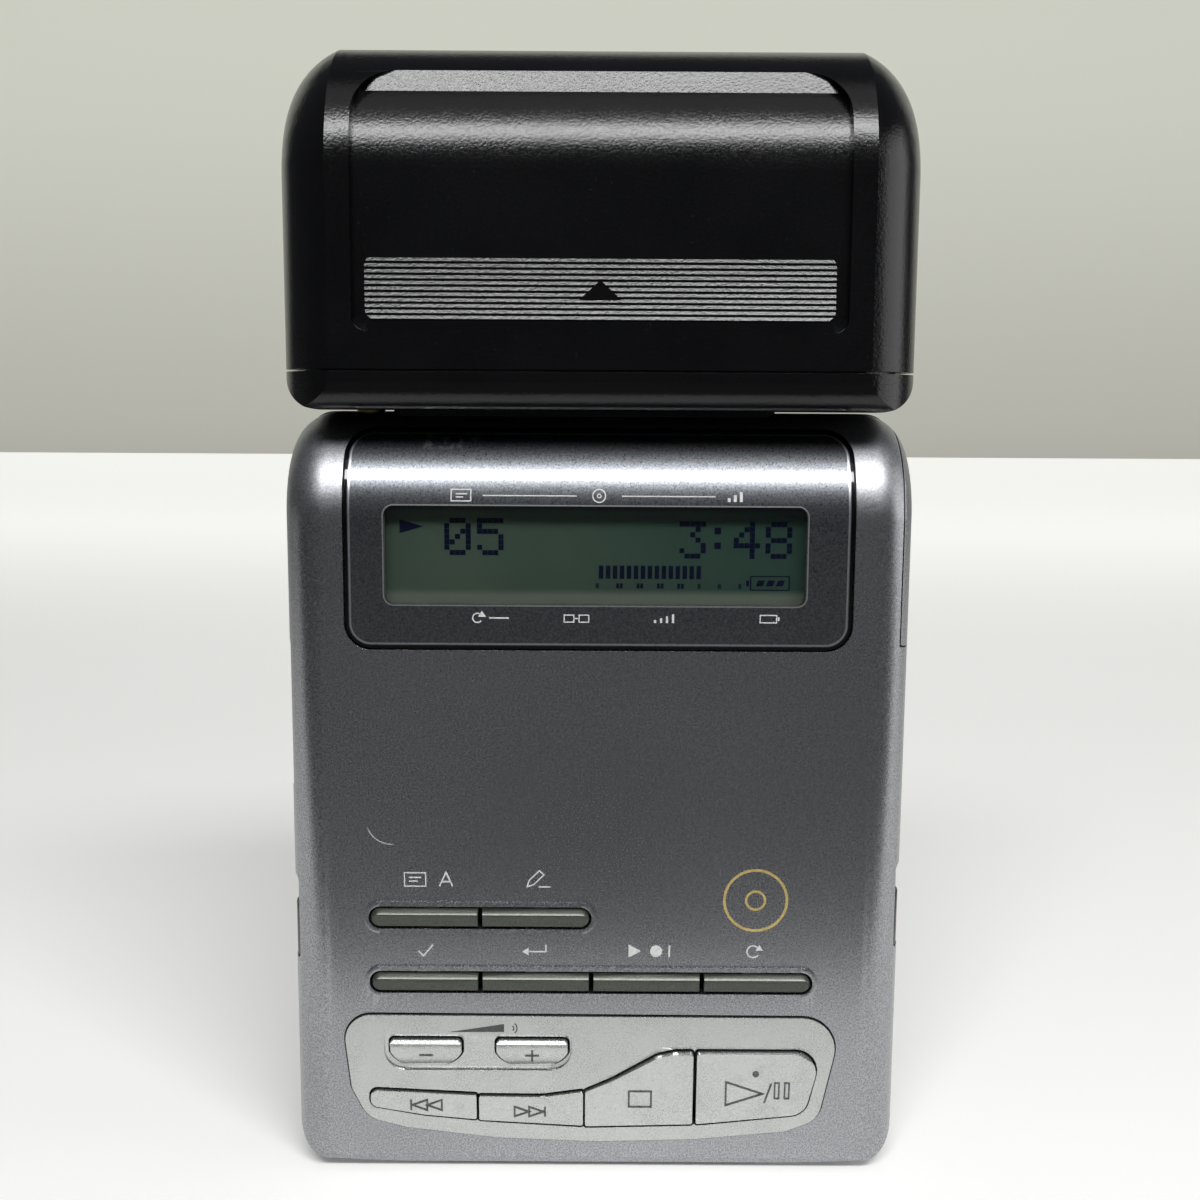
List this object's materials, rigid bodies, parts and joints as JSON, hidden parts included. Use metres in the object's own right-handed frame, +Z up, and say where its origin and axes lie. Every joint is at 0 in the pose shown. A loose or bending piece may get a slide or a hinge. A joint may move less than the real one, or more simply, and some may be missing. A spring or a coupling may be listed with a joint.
{
  "type": "portable minidisc player",
  "caption": "Pocket minidisc recorder with display, keys, rear disc lid and side battery door, standing upright with a dry cell case docked on top.",
  "frame": {"origin": "on the ground under the middle of the recorder", "axes": "+Z up along the standing recorder, +X to its right, the front face looks along -Y"},
  "size_m": [0.085, 0.035, 0.1546],
  "materials": {
    "front_shell": "fine metallic grey paint on a moulded shell",
    "rear_shell": "black moulded plastic with a fine texture",
    "display_window": "polished smoked acrylic with a clear window",
    "lcd_module": "liquid crystal glass over a grey reflector",
    "control_plate": "satin silver paint",
    "small_key": "dark olive grey moulded key",
    "large_key": "satin silver paint on a moulded key",
    "board": "green solder resist on glass fibre board",
    "metal_part": "stamped and turned steel",
    "black_part": "black moulded plastic",
    "red_key": "dark red moulded slider",
    "battery_pack": "dark blue grey battery housing",
    "cartridge": "clear tinted moulded cartridge",
    "disc": "reflective recording layer under clear plastic",
    "case_shell": "black plastic with a fine satin texture",
    "dry_cell": "printed steel jacket",
    "brass_part": "plated contact metal"
  },
  "bodies": {
    "player": {"front_shell": "front_shell", "rear_shell": "rear_shell", "display_window": "display_window", "lcd_module": "lcd_module", "control_plate": "control_plate", "key_board": "board", "tact_switches": "metal_part", "main_board": "board", "battery_tray": "black_part", "battery_pack": "battery_pack", "door_pin": "metal_part", "headphone_jack": "black_part", "line_in_jack": "black_part", "mic_jack": "black_part", "dc_jack": "black_part", "shell_screws": "metal_part", "chassis": "metal_part", "spindle_motor": "metal_part", "guide_rods": "metal_part", "sled_motor": "metal_part", "lid_hinge_pin": "metal_part"},
    "spindle": {"turntable": "black_part"},
    "sled": {"optical_pickup": "black_part"},
    "feed_screw": {"lead_screw": "metal_part"},
    "lid": {"disc_lid": "rear_shell", "cartridge_holder": "metal_part", "cartridge_shell": "cartridge", "head_rail": "metal_part"},
    "shutter": {"cartridge_shutter": "metal_part"},
    "disc_body": {"disc": "disc"},
    "head": {"recording_head": "black_part"},
    "door": {"battery_door": "front_shell"},
    "open_key": {"open_slider": "black_part"},
    "hold_key": {"hold_slider": "black_part"},
    "rec_key": {"rec_slider": "red_key"},
    "cell_case": {"case_base": "case_shell", "cell_cradle": "black_part", "dry_cells": "dry_cell", "cell_contacts": "metal_part", "cell_springs": "metal_part", "case_board": "board", "dc_plug": "brass_part", "case_screws": "metal_part"},
    "cap": {"case_cap": "case_shell"},
    "display_key": {"display_button": "small_key"},
    "play_mode_key": {"play_mode_button": "small_key"},
    "edit_key": {"edit_button": "small_key"},
    "track_mark_key": {"track_mark_button": "small_key"},
    "end_search_key": {"end_search_button": "small_key"},
    "charge_key": {"charge_button": "small_key"},
    "volume_down_key": {"volume_down_button": "large_key"},
    "volume_up_key": {"volume_up_button": "large_key"},
    "skip_back_key": {"skip_back_button": "large_key"},
    "skip_forward_key": {"skip_forward_button": "large_key"},
    "stop_key": {"stop_button": "large_key"},
    "play_key": {"play_button": "large_key"}
  },
  "joints": [
    {"name": "display_press", "type": "slide", "parent": "player", "child": "display_key", "axis": [0, 1, 0], "range_m": [0, 0.0005], "stiffness_N_per_m": 500, "springref_m": -0.0005},
    {"name": "play_mode_press", "type": "slide", "parent": "player", "child": "play_mode_key", "axis": [0, 1, 0], "range_m": [0, 0.0005], "stiffness_N_per_m": 500, "springref_m": -0.0005},
    {"name": "edit_press", "type": "slide", "parent": "player", "child": "edit_key", "axis": [0, 1, 0], "range_m": [0, 0.0005], "stiffness_N_per_m": 500, "springref_m": -0.0005},
    {"name": "track_mark_press", "type": "slide", "parent": "player", "child": "track_mark_key", "axis": [0, 1, 0], "range_m": [0, 0.0005], "stiffness_N_per_m": 500, "springref_m": -0.0005},
    {"name": "end_search_press", "type": "slide", "parent": "player", "child": "end_search_key", "axis": [0, 1, 0], "range_m": [0, 0.0005], "stiffness_N_per_m": 500, "springref_m": -0.0005},
    {"name": "charge_press", "type": "slide", "parent": "player", "child": "charge_key", "axis": [0, 1, 0], "range_m": [0, 0.0005], "stiffness_N_per_m": 500, "springref_m": -0.0005},
    {"name": "volume_down_press", "type": "slide", "parent": "player", "child": "volume_down_key", "axis": [0, 1, 0], "range_m": [0, 0.0005], "stiffness_N_per_m": 500, "springref_m": -0.0005},
    {"name": "volume_up_press", "type": "slide", "parent": "player", "child": "volume_up_key", "axis": [0, 1, 0], "range_m": [0, 0.0005], "stiffness_N_per_m": 500, "springref_m": -0.0005},
    {"name": "skip_back_press", "type": "slide", "parent": "player", "child": "skip_back_key", "axis": [0, 1, 0], "range_m": [0, 0.0005], "stiffness_N_per_m": 500, "springref_m": -0.0005},
    {"name": "skip_forward_press", "type": "slide", "parent": "player", "child": "skip_forward_key", "axis": [0, 1, 0], "range_m": [0, 0.0005], "stiffness_N_per_m": 500, "springref_m": -0.0005},
    {"name": "stop_press", "type": "slide", "parent": "player", "child": "stop_key", "axis": [0, 1, 0], "range_m": [0, 0.0005], "stiffness_N_per_m": 500, "springref_m": -0.0005},
    {"name": "play_press", "type": "slide", "parent": "player", "child": "play_key", "axis": [0, 1, 0], "range_m": [0, 0.0005], "stiffness_N_per_m": 500, "springref_m": -0.0005},
    {"name": "spindle_turn", "type": "hinge", "parent": "player", "child": "spindle", "pos_m": [0, 0, 0.0376], "axis": [0, 1, 0], "continuous": true},
    {"name": "sled_run", "type": "slide", "parent": "player", "child": "sled", "axis": [1, 0, 0], "range_m": [0, 0.016]},
    {"name": "feed_screw_turn", "type": "hinge", "parent": "player", "child": "feed_screw", "pos_m": [0.02, -0.0016, 0.0516], "axis": [1, 0, 0], "range_deg": [0, 2880.1]},
    {"name": "lid_swing", "type": "hinge", "parent": "player", "child": "lid", "pos_m": [0, 0.0134, 0.0034], "axis": [-1, 0, 0], "range_deg": [0, 40]},
    {"name": "shutter_slide", "type": "slide", "parent": "lid", "child": "shutter", "axis": [0, 0, 1], "range_m": [0, 0.019]},
    {"name": "disc_turn", "type": "hinge", "parent": "lid", "child": "disc_body", "pos_m": [0, 0.0055, 0.0376], "axis": [0, 1, 0], "continuous": true},
    {"name": "head_run", "type": "slide", "parent": "lid", "child": "head", "axis": [1, 0, 0], "range_m": [0, 0.016]},
    {"name": "door_swing", "type": "hinge", "parent": "player", "child": "door", "pos_m": [0.0413, 0.0036, 0.0895], "axis": [0, 0, 1], "range_deg": [0, 90]},
    {"name": "open_key_slide", "type": "slide", "parent": "player", "child": "open_key", "axis": [0, 0, -1], "range_m": [0, 0.0032], "stiffness_N_per_m": 300, "springref_m": -0.001},
    {"name": "hold_key_slide", "type": "slide", "parent": "player", "child": "hold_key", "axis": [0, 0, 1], "range_m": [0, 0.004]},
    {"name": "rec_key_slide", "type": "slide", "parent": "player", "child": "rec_key", "axis": [0, 0, 1], "range_m": [0, 0.004]},
    {"name": "case_lift", "type": "slide", "parent": "player", "child": "cell_case", "axis": [0, 0, 1], "range_m": [0, 0.012]},
    {"name": "cap_lift", "type": "slide", "parent": "cell_case", "child": "cap", "axis": [0, 0, 1], "range_m": [0, 0.046]}
  ],
  "couplings": [
    {"joint": "feed_screw_turn", "follows": "sled_run", "rad_per_m": 3141.6},
    {"joint": "head_run", "follows": "sled_run", "ratio": 1},
    {"joint": "disc_turn", "follows": "spindle_turn", "ratio": 1}
  ]
}
